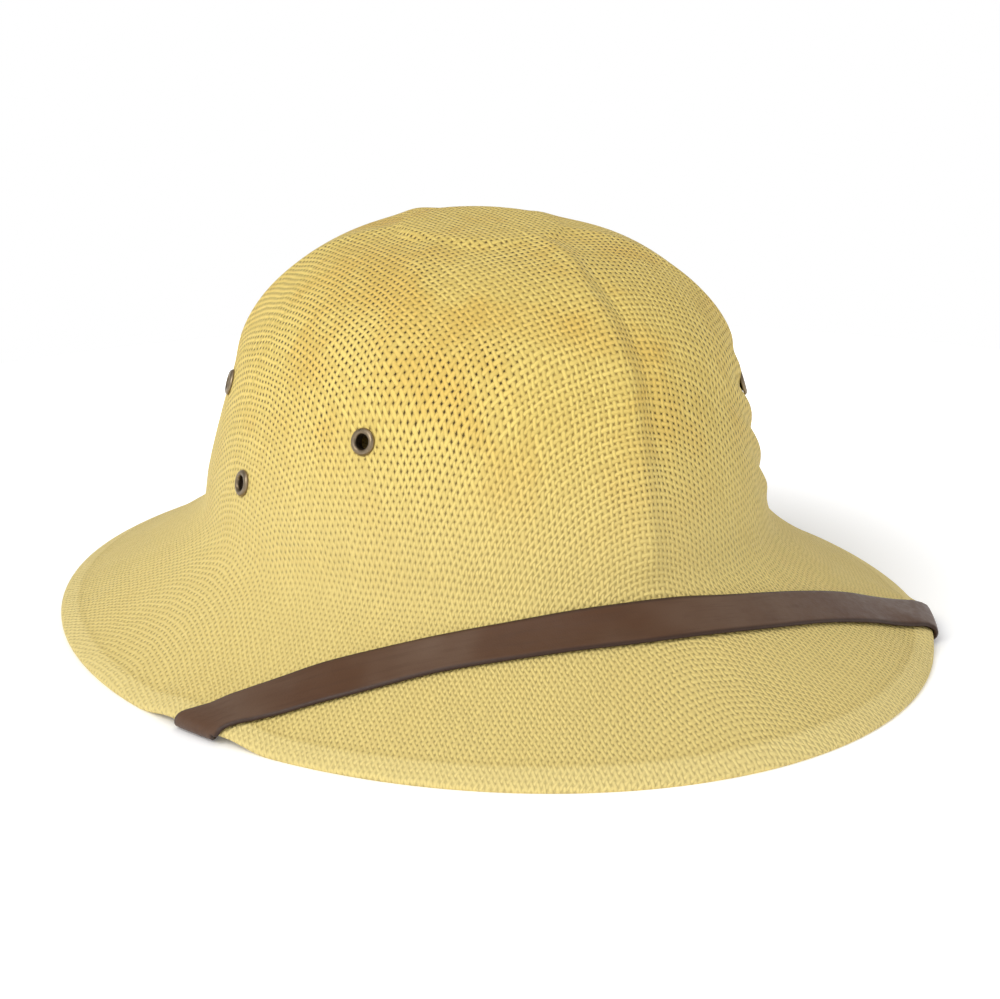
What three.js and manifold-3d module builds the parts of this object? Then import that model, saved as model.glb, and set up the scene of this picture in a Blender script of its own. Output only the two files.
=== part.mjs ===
// Pith helmet of moulded paper straw: one woven shell of crown and brim, six
// metal ventilation eyelets and a leather chin strap laid over the front brim.
//
// Millimetres, +Z up. The front of the hat looks along -Y and the wearer's
// right is -X. The hat stands on its rim, which lies in the plane Z = 0, and
// the rim's box is centred on the origin.

import * as THREE from "three";
import { mergeVertices } from "three/addons/utils/BufferGeometryUtils.js";
import Module from "manifold-3d";

// ---------------------------------------------------------------- dimensions

const WALL = 1.8; // moulded straw
const RIM_THICKNESS = 2.6; // the hem turned under along the rim
const HEM_WIDTH = 6;
const RIM_CAP = 4; // way round the rounded rim, from the top face to the underside
const GAP = 0.4; // clearance between neighbouring pieces

const BUTTON_RISE = 2.2; // raised oval on the top of the crown
const BUTTON_INNER = 24; // half width where the button's top ends
const BUTTON_OUTER = 30; // half width where its slope meets the crown

const RIDGE_HALF_WIDTH = 5.5; // moulded ribs that run down from the button
const RIDGE_FADE = 9; // height over which a rib sinks into the crown

const RIM_LIFT = 2.5; // the rim is drawn up where the strap wraps round it
const RIM_LIFT_HALF_WIDTH = 12.5; // full lift this far either way along the rim
const RIM_LIFT_END = 32; // no lift beyond this
const RIM_LIFT_REACH = 26; // how far up the brim it is felt

const STRAP_THICKNESS = 1.4;
const STRAP_GAP = 0.7; // between the strap and the shell it lies on
const STRAP_STRIPS = 3; // flat strips across the strap's width

const EYELET_HOLE_RADIUS = 2.3;
const EYELET_BARREL_RADIUS = 2.8;
const EYELET_FLANGE_RADIUS = 4.4;
const EYELET_FLANGE_RISE = 1.2;
const EYELET_ROLL_RADIUS = 3.9; // where the barrel is rolled over inside
const EYELET_ROLL_RISE = 0.8;
const EYELET_SEGMENTS = 16;
const PUNCH_RADIUS = 3.2; // hole punched for an eyelet's barrel

// The shell's outer face, a row per level from the top down to the rim.
// Every level is an oval of these half sizes round centreY; the three heights
// are those of its sides, its front and its back, and rings is the number of
// mesh rings from this level to the next.
const LEVELS = [
  { name: "crown_top", halfWidth: 0, halfLength: 0, centreY: 0, side: 133, front: 133, back: 133, rings: 2 },
  { name: "button_top", halfWidth: 24, halfLength: 28.5, centreY: -1, side: 132.4, front: 132.4, back: 132.4, rings: 1 },
  { name: "button_foot", halfWidth: 30, halfLength: 35.7, centreY: -2, side: 131.6, front: 131.6, back: 131.6, rings: 1 },
  { name: "top_slope", halfWidth: 41.6, halfLength: 49.5, centreY: -3, side: 129, front: 129, back: 129, rings: 1 },
  { name: "dome_high", halfWidth: 52.9, halfLength: 62.9, centreY: -4, side: 123.9, front: 123.9, back: 123.9, rings: 1 },
  { name: "dome_middle", halfWidth: 62, halfLength: 73.7, centreY: -4, side: 117.3, front: 117.3, back: 117.3, rings: 1 },
  { name: "dome_low", halfWidth: 69.2, halfLength: 82.3, centreY: -3.5, side: 109.7, front: 109.7, back: 109.7, rings: 1 },
  { name: "shoulder_high", halfWidth: 74.5, halfLength: 88.6, centreY: -3, side: 101.6, front: 101.6, back: 101.6, rings: 1 },
  { name: "shoulder", halfWidth: 78, halfLength: 92.7, centreY: -2, side: 93.8, front: 93.8, back: 93.8, rings: 1 },
  { name: "wall_high", halfWidth: 80.2, halfLength: 95.2, centreY: -1.5, side: 85.2, front: 85.2, back: 85.2, rings: 1 },
  { name: "wall_upper", halfWidth: 83.5, halfLength: 99.4, centreY: -1, side: 73.1, front: 73.1, back: 73.1, rings: 1 },
  { name: "wall_middle", halfWidth: 86.4, halfLength: 102.8, centreY: -0.5, side: 61, front: 61, back: 61, rings: 1 },
  { name: "wall_low", halfWidth: 89, halfLength: 105.9, centreY: 0, side: 48.9, front: 48.9, back: 48.9, rings: 1 },
  { name: "crown_foot", halfWidth: 91.4, halfLength: 108.7, centreY: 0, side: 36.8, front: 36.8, back: 36.8, rings: 1 },
  { name: "brim_root", halfWidth: 94.4, halfLength: 112.6, centreY: 0, side: 32.6, front: 32.3, back: 32.1, rings: 1 },
  { name: "brim_high", halfWidth: 99.8, halfLength: 119.9, centreY: 0, side: 27.3, front: 27.5, back: 26.7, rings: 1 },
  { name: "brim_upper", halfWidth: 106.8, halfLength: 129.4, centreY: 0, side: 21.6, front: 22.6, back: 21.2, rings: 1 },
  { name: "brim_middle", halfWidth: 114.9, halfLength: 140.2, centreY: 0, side: 15.7, front: 17.5, back: 15.6, rings: 1 },
  { name: "brim_lower", halfWidth: 123.3, halfLength: 151.3, centreY: 0, side: 10.3, front: 12.4, back: 10.5, rings: 1 },
  { name: "brim_low", halfWidth: 131.3, halfLength: 161.4, centreY: 0, side: 5.6, front: 7.3, back: 5.9, rings: 1 },
  { name: "rim", halfWidth: 138.3, halfLength: 169.7, centreY: 0, side: 2.2, front: 2.1, back: 2.2, rings: 0 },
];

// Moulded ribs: azimuth from the front towards the wearer's left, in degrees,
// and the height at which each one has sunk back into the crown.
const RIDGES = [
  { name: "front", azimuth: 1, rise: 1.6, fadesAt: 44 },
  { name: "left_front", azimuth: 57, rise: 1.3, fadesAt: 96 },
  { name: "left_back", azimuth: 120, rise: 1.3, fadesAt: 96 },
  { name: "back", azimuth: 180, rise: 1.6, fadesAt: 44 },
  { name: "right_back", azimuth: -120, rise: 1.3, fadesAt: 96 },
  { name: "right_front", azimuth: -57, rise: 1.3, fadesAt: 96 },
];

// Eyelets: azimuth in degrees and drop below the crown's foot along the side
// profile, so a negative drop is up on the crown. The middle one of each side
// also holds an end of the strap inside.
const EYELETS = [
  { name: "eyelet_right_front", azimuth: -58, drop: -46.5, holdsStrap: false },
  { name: "eyelet_right_middle", azimuth: -90.5, drop: -22, holdsStrap: true },
  { name: "eyelet_right_back", azimuth: -113.5, drop: -46.5, holdsStrap: false },
  { name: "eyelet_left_front", azimuth: 58, drop: -46.5, holdsStrap: false },
  { name: "eyelet_left_middle", azimuth: 90.5, drop: -22, holdsStrap: true },
  { name: "eyelet_left_back", azimuth: 113.5, drop: -46.5, holdsStrap: false },
];

// The strap's way from its right end round the front to its left end, a row
// per cross-section: where its two edges lie on the shell, by azimuth and by
// drop below the crown's foot. The upper edge is the one nearer the crown.
const STRAP_SECTIONS = [
  { name: "right_end", face: "inner", upperAzimuth: -97, upperDrop: -25.5, lowerAzimuth: -89, lowerDrop: -32.5, steps: 2 },
  { name: "right_eyelet", face: "inner", upperAzimuth: -94.5, upperDrop: -18.5, lowerAzimuth: -86.5, lowerDrop: -25.5, steps: 7 },
  { name: "right_inner_foot", face: "inner", upperAzimuth: -90.5, upperDrop: 2, lowerAzimuth: -79, lowerDrop: 2, steps: 7 },
  { name: "right_under_brim", face: "inner", upperAzimuth: -80, upperDrop: 36, lowerAzimuth: -74, lowerDrop: 27, steps: 4 },
  { name: "right_under_rim", face: "inner", upperAzimuth: -74.5, upperDrop: 55, lowerAzimuth: -68.5, lowerDrop: 54.5, steps: 8 },
  { name: "right_rim", face: "rim", upperAzimuth: -73.2, upperDrop: 0, lowerAzimuth: -66.9, lowerDrop: 0, steps: 9 },
  { name: "right_brim_edge", face: "outer", upperAzimuth: -70.3, upperDrop: 53.2, lowerAzimuth: -66, lowerDrop: 60.2, steps: 3 },
  { name: "right_brim_low", face: "outer", upperAzimuth: -67.8, upperDrop: 44.6, lowerAzimuth: -63.8, lowerDrop: 54, steps: 3 },
  { name: "right_brim_middle", face: "outer", upperAzimuth: -63, upperDrop: 33.6, lowerAzimuth: -59.9, lowerDrop: 45.5, steps: 4 },
  { name: "right_brim_high", face: "outer", upperAzimuth: -55.2, upperDrop: 22.6, lowerAzimuth: -52.7, lowerDrop: 35.7, steps: 3 },
  { name: "right_front", face: "outer", upperAzimuth: -41.5, upperDrop: 11.1, lowerAzimuth: -39.4, lowerDrop: 22.7, steps: 3 },
  { name: "front_right", face: "outer", upperAzimuth: -26, upperDrop: 4.1, lowerAzimuth: -24.9, lowerDrop: 16.5, steps: 3 },
  { name: "front", face: "outer", upperAzimuth: -9.2, upperDrop: 1.2, lowerAzimuth: -9.3, lowerDrop: 14.6, steps: 3 },
  { name: "front_left", face: "outer", upperAzimuth: 9.8, upperDrop: 3.6, lowerAzimuth: 8.7, lowerDrop: 17.2, steps: 3 },
  { name: "left_front", face: "outer", upperAzimuth: 31.8, upperDrop: 14.6, lowerAzimuth: 29.2, lowerDrop: 26.5, steps: 3 },
  { name: "left_brim_middle", face: "outer", upperAzimuth: 46.8, upperDrop: 29.6, lowerAzimuth: 43.2, lowerDrop: 40.8, steps: 4 },
  { name: "left_brim_edge", face: "outer", upperAzimuth: 57.2, upperDrop: 49.5, lowerAzimuth: 50.3, lowerDrop: 55, steps: 8 },
  { name: "left_rim", face: "rim", upperAzimuth: 60.5, upperDrop: 0, lowerAzimuth: 52, lowerDrop: 0, steps: 7 },
  { name: "left_under_rim", face: "inner", upperAzimuth: 63, upperDrop: 54, lowerAzimuth: 54.5, lowerDrop: 51, steps: 4 },
  { name: "left_under_brim", face: "inner", upperAzimuth: 73, upperDrop: 33, lowerAzimuth: 66, lowerDrop: 24, steps: 7 },
  { name: "left_inner_foot", face: "inner", upperAzimuth: 89, upperDrop: 2, lowerAzimuth: 78, lowerDrop: 2, steps: 7 },
  { name: "left_eyelet", face: "inner", upperAzimuth: 94.5, upperDrop: -18.5, lowerAzimuth: 86.5, lowerDrop: -25.5, steps: 2 },
  { name: "left_end", face: "inner", upperAzimuth: 97, upperDrop: -25.5, lowerAzimuth: 89, lowerDrop: -32.5, steps: 0 },
];

// Azimuths of the mesh columns between one rib and the next: closer together
// beside the ribs.
const SECTOR = 60;
const SECTOR_COLUMNS = [0, 3, 6.5, 11.5, 17.5, 23.5, 30, 36.5, 42.5, 48.5, 53.5, 57];

// ------------------------------------------------------------ small functions

const radians = THREE.MathUtils.degToRad;

function smooth(x, low, high) {
  return THREE.MathUtils.smoothstep(x, low, high);
}

/** Reads named columns of a table at any place between its rows, smoothly. */
function tableReader(places, rows, columns) {
  const samples = rows.flatMap((row) => columns.map((column) => row[column]));
  const curve = new THREE.CubicInterpolant(places, samples, columns.length);
  return (place) => {
    const values = curve.evaluate(place);
    return Object.fromEntries(columns.map((column, i) => [column, values[i]]));
  };
}

/** A closed BufferGeometry from points and triangles. */
function meshGeometry(points, triangles) {
  const geometry = new THREE.BufferGeometry();
  const positions = points.flatMap((p) => [p.x, p.y, p.z]);
  geometry.setAttribute("position", new THREE.Float32BufferAttribute(positions, 3));
  geometry.setIndex(triangles.flat());
  geometry.computeVertexNormals();
  return geometry;
}

// ---------------------------------------------------------------- shell's form

// Way down the side profile from the crown's top to each level.
const levelDistances = [0];
for (let i = 1; i < LEVELS.length; i += 1) {
  const run = LEVELS[i].halfWidth - LEVELS[i - 1].halfWidth;
  const fall = LEVELS[i - 1].side - LEVELS[i].side;
  levelDistances.push(levelDistances[i - 1] + Math.hypot(run, fall));
}
const FOOT = levelDistances[LEVELS.findIndex((level) => level.name === "crown_foot")];
const RIM = levelDistances[levelDistances.length - 1];
const readLevel = tableReader(levelDistances, LEVELS, ["halfWidth", "halfLength", "centreY", "side", "front", "back"]);

// Azimuths at which the strap crosses the rim.
const strapCrossings = STRAP_SECTIONS.filter((row) => row.face === "rim").map(
  (row) => radians((row.upperAzimuth + row.lowerAzimuth) / 2),
);

/** How far the rim is drawn up at an azimuth, between 0 and 1. */
function rimPull(azimuth) {
  let pull = 0;
  for (const crossing of strapCrossings) {
    const turn = Math.atan2(Math.sin(azimuth - crossing), Math.cos(azimuth - crossing));
    const along = turn * Math.hypot(
      LEVELS.at(-1).halfWidth * Math.cos(crossing),
      LEVELS.at(-1).halfLength * Math.sin(crossing),
    );
    pull += 1 - smooth(Math.abs(along), RIM_LIFT_HALF_WIDTH, RIM_LIFT_END);
  }
  return Math.min(1, pull);
}

/** A point of the smooth outer face, without button and ribs. */
function facePoint(distance, azimuth) {
  const level = readLevel(THREE.MathUtils.clamp(distance, 0, RIM));
  const sine = Math.sin(azimuth);
  const cosine = Math.cos(azimuth);
  const end = cosine > 0 ? level.front : level.back;
  const height = level.side + (end - level.side) * cosine * cosine;
  const lift = RIM_LIFT * smooth(distance, RIM - RIM_LIFT_REACH, RIM) * rimPull(azimuth);
  return new THREE.Vector3(
    level.halfWidth * sine,
    level.centreY - level.halfLength * cosine,
    height + lift,
  );
}

/** Point, outward normal and downhill direction of the smooth outer face. */
function faceFrame(distance, azimuth) {
  const step = 0.5;
  const turn = 0.01;
  const d = THREE.MathUtils.clamp(distance, 1, RIM);
  const above = facePoint(d - step, azimuth);
  const below = d + step > RIM ? facePoint(d, azimuth) : facePoint(d + step, azimuth);
  const downhill = below.sub(above).normalize();
  const round = facePoint(d, azimuth + turn).sub(facePoint(d, azimuth - turn)).normalize();
  const normal = downhill.clone().cross(round).normalize();
  return { point: facePoint(distance, azimuth), normal, downhill };
}

/** Rise of the button and the ribs above the smooth face. */
function relief(distance, azimuth) {
  const level = readLevel(THREE.MathUtils.clamp(distance, 0, RIM));
  let rise = BUTTON_RISE * (1 - smooth(level.halfWidth, BUTTON_INNER, BUTTON_OUTER));
  for (const ridge of RIDGES) {
    const turn = azimuth - radians(ridge.azimuth);
    const across = (Math.abs(Math.atan2(Math.sin(turn), Math.cos(turn))) * level.halfWidth) / RIDGE_HALF_WIDTH;
    const along = smooth(level.side, ridge.fadesAt - RIDGE_FADE, ridge.fadesAt + RIDGE_FADE);
    rise = Math.max(rise, ridge.rise * along * Math.exp(-across * across));
  }
  return rise;
}

function thickness(distance) {
  return WALL + (RIM_THICKNESS - WALL) * smooth(distance, RIM - HEM_WIDTH - 2, RIM - HEM_WIDTH + 1);
}

/**
 * A point at a clearance off the shell's skin. Way counts down the outer face
 * from the crown's top, on round the rim and back up the inner face.
 */
function skin(way, azimuth, clearance) {
  if (way <= RIM) {
    const { point, normal } = faceFrame(way, azimuth);
    return point.addScaledVector(normal, relief(way, azimuth) + clearance);
  }
  if (way < RIM + RIM_CAP) {
    const { point, normal, downhill } = faceFrame(RIM, azimuth);
    const radius = RIM_THICKNESS / 2;
    const turn = (Math.PI * (way - RIM)) / RIM_CAP;
    return point
      .addScaledVector(normal, -radius + Math.cos(turn) * (radius + clearance))
      .addScaledVector(downhill, Math.sin(turn) * (radius + clearance));
  }
  const distance = Math.max(0, 2 * RIM + RIM_CAP - way);
  const { point, normal } = faceFrame(distance, azimuth);
  return point.addScaledVector(normal, relief(distance, azimuth) - thickness(distance) - clearance);
}

/** Way of a place given by the face it lies on and its drop below the foot. */
function wayOf(face, drop) {
  if (face === "rim") {
    return RIM + RIM_CAP / 2;
  }
  return face === "outer" ? FOOT + drop : 2 * RIM + RIM_CAP - (FOOT + drop);
}

// ----------------------------------------------------------------------- shell

function shellGeometry() {
  const distances = [];
  for (let i = 0; i < LEVELS.length - 1; i += 1) {
    for (let k = 0; k < LEVELS[i].rings; k += 1) {
      const share = k / LEVELS[i].rings;
      distances.push(levelDistances[i] + (levelDistances[i + 1] - levelDistances[i]) * share);
    }
  }
  distances.push(RIM);

  const azimuths = [];
  for (let sector = 0; sector < 360; sector += SECTOR) {
    for (const column of SECTOR_COLUMNS) {
      azimuths.push(radians(sector + column));
    }
  }

  const outerWays = distances.slice(1);
  const capWays = [1, 2, 3].map((k) => RIM + (RIM_CAP * k) / 4);
  const innerWays = distances.slice(1).reverse().map((d) => 2 * RIM + RIM_CAP - d);
  const ways = [...outerWays, ...capWays, ...innerWays];

  // The rim's lowest line is pressed flat in the plane Z = 0.
  const points = [skin(0, 0, 0)];
  for (const way of ways) {
    for (const azimuth of azimuths) {
      const point = skin(way, azimuth, 0);
      point.z = Math.max(0, point.z);
      points.push(point);
    }
  }
  points.push(skin(2 * RIM + RIM_CAP, 0, 0));

  const count = azimuths.length;
  const triangles = [];
  const last = points.length - 1;
  for (let j = 0; j < count; j += 1) {
    const next = (j + 1) % count;
    triangles.push([0, 1 + j, 1 + next]);
    for (let i = 0; i < ways.length - 1; i += 1) {
      const a = 1 + i * count;
      const b = a + count;
      triangles.push([a + j, b + j, b + next]);
      triangles.push([a + j, b + next, a + next]);
    }
    const end = 1 + (ways.length - 1) * count;
    triangles.push([end + j, last, end + next]);
  }
  return meshGeometry(points, triangles);
}

// --------------------------------------------------------------------- eyelets

/** Where an eyelet sits: on the outer face, its axis along the normal. */
function eyeletPlace(row) {
  const distance = FOOT + row.drop;
  const azimuth = radians(row.azimuth);
  const { point, normal } = faceFrame(distance, azimuth);
  point.addScaledVector(normal, relief(distance, azimuth));
  const quaternion = new THREE.Quaternion().setFromUnitVectors(new THREE.Vector3(0, 1, 0), normal);
  return { point, quaternion };
}

/** Eyelet round its own Y axis; Y = 0 is the shell's outer face. */
function eyeletGeometry(held) {
  const inside = -held - GAP;
  const rolled = inside - EYELET_ROLL_RISE;
  const profile = [
    [EYELET_HOLE_RADIUS, rolled + 0.25],
    [EYELET_HOLE_RADIUS + 0.5, rolled],
    [EYELET_ROLL_RADIUS - 0.3, rolled + 0.15],
    [EYELET_ROLL_RADIUS, inside],
    [EYELET_BARREL_RADIUS, inside],
    [EYELET_BARREL_RADIUS, GAP],
    [EYELET_FLANGE_RADIUS, GAP],
    [EYELET_FLANGE_RADIUS - 0.4, EYELET_FLANGE_RISE],
    [EYELET_FLANGE_RADIUS - 1.2, GAP + EYELET_FLANGE_RISE],
    [EYELET_HOLE_RADIUS, EYELET_FLANGE_RISE - 0.2],
  ].map(([radius, height]) => new THREE.Vector2(radius, height));
  profile.push(profile[0].clone());
  return new THREE.LatheGeometry(profile, EYELET_SEGMENTS);
}

// ----------------------------------------------------------------------- strap

function strapGeometry() {
  const rows = STRAP_SECTIONS.map((row) => ({
    upperWay: wayOf(row.face, row.upperDrop),
    upperAzimuth: radians(row.upperAzimuth),
    lowerWay: wayOf(row.face, row.lowerDrop),
    lowerAzimuth: radians(row.lowerAzimuth),
  }));
  const places = rows.map((_, i) => i);
  const read = tableReader(places, rows, ["upperWay", "upperAzimuth", "lowerWay", "lowerAzimuth"]);

  // Each cross-section runs down the face next to the shell and back up the
  // face away from it.
  const points = [];
  const addSection = (place) => {
    const s = read(place);
    const way = (share) => THREE.MathUtils.lerp(s.upperWay, s.lowerWay, share);
    const azimuth = (share) => THREE.MathUtils.lerp(s.upperAzimuth, s.lowerAzimuth, share);
    for (let k = 0; k <= STRAP_STRIPS; k += 1) {
      const share = k / STRAP_STRIPS;
      points.push(skin(way(share), azimuth(share), STRAP_GAP));
    }
    for (let k = STRAP_STRIPS; k >= 0; k -= 1) {
      const share = k / STRAP_STRIPS;
      points.push(skin(way(share), azimuth(share), STRAP_GAP + STRAP_THICKNESS));
    }
  };
  STRAP_SECTIONS.forEach((row, i) => {
    for (let k = 0; k < row.steps; k += 1) {
      addSection(i + k / row.steps);
    }
  });
  addSection(STRAP_SECTIONS.length - 1);

  const corners = 2 * (STRAP_STRIPS + 1);
  const sections = points.length / corners;
  const triangles = [];
  for (let i = 0; i < sections - 1; i += 1) {
    for (let k = 0; k < corners; k += 1) {
      const a = i * corners + k;
      const b = i * corners + ((k + 1) % corners);
      triangles.push([a, b + corners, b]);
      triangles.push([a, a + corners, b + corners]);
    }
  }
  const end = (sections - 1) * corners;
  for (let k = 0; k < STRAP_STRIPS; k += 1) {
    const far = corners - 1 - k;
    triangles.push([k, k + 1, far - 1], [k, far - 1, far]);
    triangles.push([end + k, end + far - 1, end + k + 1], [end + k, end + far, end + far - 1]);
  }
  return meshGeometry(points, triangles);
}

// ------------------------------------------------------------------- cut holes

const wasm = await Module();
wasm.setup();

/** The same shape as a solid that can be cut. */
function solidOf(geometry) {
  const bare = geometry.clone();
  bare.deleteAttribute("normal");
  bare.deleteAttribute("uv");
  const merged = mergeVertices(bare, 1e-4);
  return new wasm.Manifold(
    new wasm.Mesh({
      numProp: 3,
      vertProperties: new Float32Array(merged.attributes.position.array),
      triVerts: new Uint32Array(merged.index.array),
    }),
  );
}

function geometryOf(solid) {
  const { vertProperties, triVerts } = solid.getMesh();
  const geometry = new THREE.BufferGeometry();
  geometry.setAttribute("position", new THREE.BufferAttribute(vertProperties, 3));
  geometry.setIndex(new THREE.BufferAttribute(triVerts, 1));
  geometry.computeVertexNormals();
  return geometry;
}

/** A round punch through the wall at an eyelet's place. */
function punch(row) {
  const { point, quaternion } = eyeletPlace(row);
  const geometry = new THREE.CylinderGeometry(PUNCH_RADIUS, PUNCH_RADIUS, 14, EYELET_SEGMENTS);
  geometry.applyQuaternion(quaternion);
  geometry.translate(point.x, point.y, point.z);
  return solidOf(geometry);
}

let shell = solidOf(shellGeometry());
let strap = solidOf(strapGeometry());
for (const row of EYELETS) {
  shell = shell.subtract(punch(row));
  if (row.holdsStrap) {
    strap = strap.subtract(punch(row));
  }
}

// -------------------------------------------------------------------- assembly

const straw = { color: 0xdcc57c, roughness: 0.72, metalness: 0 };
const leather = { color: 0x5c4236, roughness: 0.5, metalness: 0 };
const gunmetal = { color: 0x6b5a48, roughness: 0.38, metalness: 0.9 };

const helmet = new THREE.Group();

function addPiece(name, geometry, look) {
  const mesh = new THREE.Mesh(geometry, new THREE.MeshStandardMaterial(look));
  mesh.name = name;
  helmet.add(mesh);
  return mesh;
}

addPiece("shell", geometryOf(shell), straw);
addPiece("chin_strap", geometryOf(strap), leather);
for (const row of EYELETS) {
  const held = WALL + (row.holdsStrap ? STRAP_GAP + STRAP_THICKNESS : 0);
  const eyelet = addPiece(row.name, eyeletGeometry(held), gunmetal);
  const { point, quaternion } = eyeletPlace(row);
  eyelet.position.copy(point);
  eyelet.quaternion.copy(quaternion);
}

export default helmet;
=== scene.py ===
"""Pith helmet of moulded paper straw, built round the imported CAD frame.

Metres, +Z up, the hat's front looks along -Y and the wearer's right is -X.
Shapes are worked out in millimetres and scaled once, when a mesh is made.
"""
import math

import bpy
import numpy as np
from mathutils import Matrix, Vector


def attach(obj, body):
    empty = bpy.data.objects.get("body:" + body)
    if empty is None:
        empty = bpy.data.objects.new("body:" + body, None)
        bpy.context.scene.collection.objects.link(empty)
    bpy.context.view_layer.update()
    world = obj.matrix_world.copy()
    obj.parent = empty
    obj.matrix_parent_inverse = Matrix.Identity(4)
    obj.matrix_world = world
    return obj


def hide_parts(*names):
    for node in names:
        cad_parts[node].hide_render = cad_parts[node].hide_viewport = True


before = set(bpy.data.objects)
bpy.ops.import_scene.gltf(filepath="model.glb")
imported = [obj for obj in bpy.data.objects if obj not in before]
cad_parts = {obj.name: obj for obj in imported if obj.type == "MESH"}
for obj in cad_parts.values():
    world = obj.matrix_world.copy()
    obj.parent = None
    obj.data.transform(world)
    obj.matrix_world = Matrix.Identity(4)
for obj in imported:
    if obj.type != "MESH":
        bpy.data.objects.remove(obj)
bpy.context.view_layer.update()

MM = 0.001  # metres in a millimetre

# ------------------------------------------------------------- shell's form
WALL = 1.8
RIM_THICKNESS = 2.6
HEM_WIDTH = 6.0
HEM_STEP = 0.15  # the hem's doubled straw stands this much proud of the brim
RIM_CAP = 4.0  # way round the rim, from the outer to the inner face
RIM_LIFT = 2.5  # the rim is drawn up where the strap wraps round it
RIM_LIFT_HALF_WIDTH = 12.5  # full lift this far either way along the rim
RIM_LIFT_END = 32.0  # no lift beyond this
RIM_LIFT_REACH = 26.0  # how far up the brim it is felt

# The same levels as the CAD shell, an oval per level, from the top down:
# name, half width, half length, centre y, side, front and back heights
LEVELS = [
    ("crown_top", 0, 0, 0, 133, 133, 133),
    ("button_top", 24, 28.5, -1, 132.4, 132.4, 132.4),
    ("button_foot", 30, 35.7, -2, 131.6, 131.6, 131.6),
    ("top_slope", 41.6, 49.5, -3, 129, 129, 129),
    ("dome_high", 52.9, 62.9, -4, 123.9, 123.9, 123.9),
    ("dome_middle", 62, 73.7, -4, 117.3, 117.3, 117.3),
    ("dome_low", 69.2, 82.3, -3.5, 109.7, 109.7, 109.7),
    ("shoulder_high", 74.5, 88.6, -3, 101.6, 101.6, 101.6),
    ("shoulder", 78, 92.7, -2, 93.8, 93.8, 93.8),
    ("wall_high", 80.2, 95.2, -1.5, 85.2, 85.2, 85.2),
    ("wall_upper", 83.5, 99.4, -1, 73.1, 73.1, 73.1),
    ("wall_middle", 86.4, 102.8, -0.5, 61, 61, 61),
    ("wall_low", 89, 105.9, 0, 48.9, 48.9, 48.9),
    ("crown_foot", 91.4, 108.7, 0, 36.8, 36.8, 36.8),
    ("brim_root", 94.4, 112.6, 0, 32.6, 32.3, 32.1),
    ("brim_high", 99.8, 119.9, 0, 27.3, 27.5, 26.7),
    ("brim_upper", 106.8, 129.4, 0, 21.6, 22.6, 21.2),
    ("brim_middle", 114.9, 140.2, 0, 15.7, 17.5, 15.6),
    ("brim_lower", 123.3, 151.3, 0, 10.3, 12.4, 10.5),
    ("brim_low", 131.3, 161.4, 0, 5.6, 7.3, 5.9),
    ("rim", 138.3, 169.7, 0, 2.2, 2.1, 2.2),
]

# The button on the crown's top
BUTTON_RISE = 2.2
BUTTON_INNER = 24.0
BUTTON_OUTER = 29.0
SHOULDER = 40.0  # half width of the dome where it is flatter, round the button
SHOULDER_DIP = 1.2
SHOULDER_WIDTH = 12.0

# Ribs: name, azimuth, its turn near the button, rise, fall-off towards the
# wearer's right and left, height where the rib ends
RIBS = [
    ("front", 1, 12, 2.3, 9.0, 4.6, 44),
    ("left_front", 57, 0, 1.2, 5.5, 5.5, 96),
    ("left_back", 120, 0, 1.2, 5.5, 5.5, 96),
    ("back", 180, 0, 1.7, 6.0, 6.0, 44),
    ("right_back", -120, 0, 1.2, 5.5, 5.5, 96),
    ("right_front", -56, -7, 1.3, 5.5, 5.5, 96),
]
RIB_FADE = 9.0
RIB_CREST = 0.7  # rounding of a rib's crest
RIB_SHARPNESS = 1.25
RIB_TURN_HEIGHTS = (123, 134.5)  # a rib turns between these

# The crease beside the front rib, on the wearer's left
CREASE_DEPTH = 1.2
CREASE_OFF = 8.5  # from the rib's crest
CREASE_WIDTH = 3.2
CREASE_FOOT = (60, 84)  # heights where it fades in
CREASE_HEAD = (122, 131)  # and out again

# Slanting wrinkles on the wearer's left of the crown
WRINKLE_RISE = 0.95
WRINKLE_PITCH = 13.5
WRINKLE_SLANT = 0.62
WRINKLE_AZIMUTH = 60
WRINKLE_SPREAD = 17.0  # degrees
WRINKLE_FOOT = (38, 52)
WRINKLE_HEAD = (84, 104)

# name, azimuth, drop below the crown's foot, whether it holds the strap
EYELETS = [
    ("eyelet_right_front", -58, -46.5, False),
    ("eyelet_right_middle", -90.5, -22, True),
    ("eyelet_right_back", -113.5, -46.5, False),
    ("eyelet_left_front", 58, -46.5, False),
    ("eyelet_left_middle", 90.5, -22, True),
    ("eyelet_left_back", 113.5, -46.5, False),
]

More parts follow.
